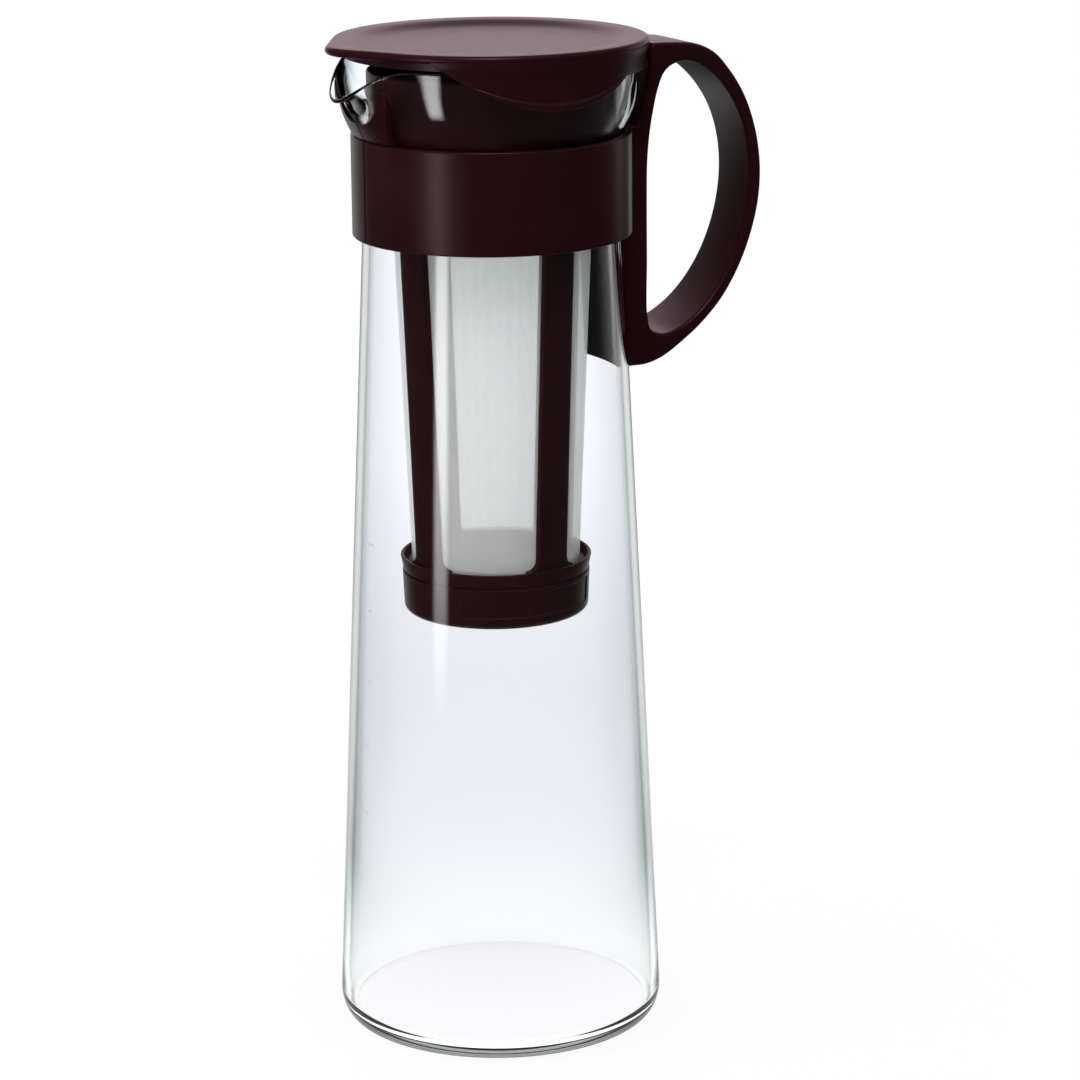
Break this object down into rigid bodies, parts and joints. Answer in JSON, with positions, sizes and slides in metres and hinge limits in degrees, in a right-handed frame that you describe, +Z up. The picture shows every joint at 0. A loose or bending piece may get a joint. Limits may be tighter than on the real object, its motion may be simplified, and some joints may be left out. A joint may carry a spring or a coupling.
{
  "type": "cold brew coffee maker",
  "caption": "Tall tapered glass carafe with a pouring lip, a neck band with loop handle, a lift-out mesh strainer with twist-off cap and a dished lid.",
  "frame": {"origin": "centre of the carafe's base, on the surface that it stands on", "axes": "+Z up along the carafe's axis, +X towards the handle, -X towards the pouring lip"},
  "size_m": [0.1364, 0.0976, 0.297],
  "materials": {
    "glass": "clear, polished",
    "plastic": "dark chocolate brown, satin",
    "mesh": "fine white woven polyester"
  },
  "bodies": {
    "pot": {"glass_carafe": "glass", "neck_band_and_handle": "plastic"},
    "strainer": {"strainer_frame": "plastic", "mesh_panel_1": "mesh", "mesh_panel_2": "mesh", "mesh_panel_3": "mesh", "mesh_panel_4": "mesh"},
    "cap": {"strainer_cap": "plastic"},
    "lid": {"lid": "plastic"}
  },
  "joints": [
    {"name": "strainer_lift", "type": "slide", "parent": "pot", "child": "strainer", "axis": [0, 0, 1], "range_m": [0, 0.17]},
    {"name": "lid_lift", "type": "slide", "parent": "strainer", "child": "lid", "axis": [0, 0, 1], "range_m": [0, 0.06]},
    {"name": "cap_twist", "type": "hinge", "parent": "strainer", "child": "cap", "pos_m": [0, 0, 0.1334], "axis": [0, 0, 1], "range_deg": [0, 30]}
  ]
}
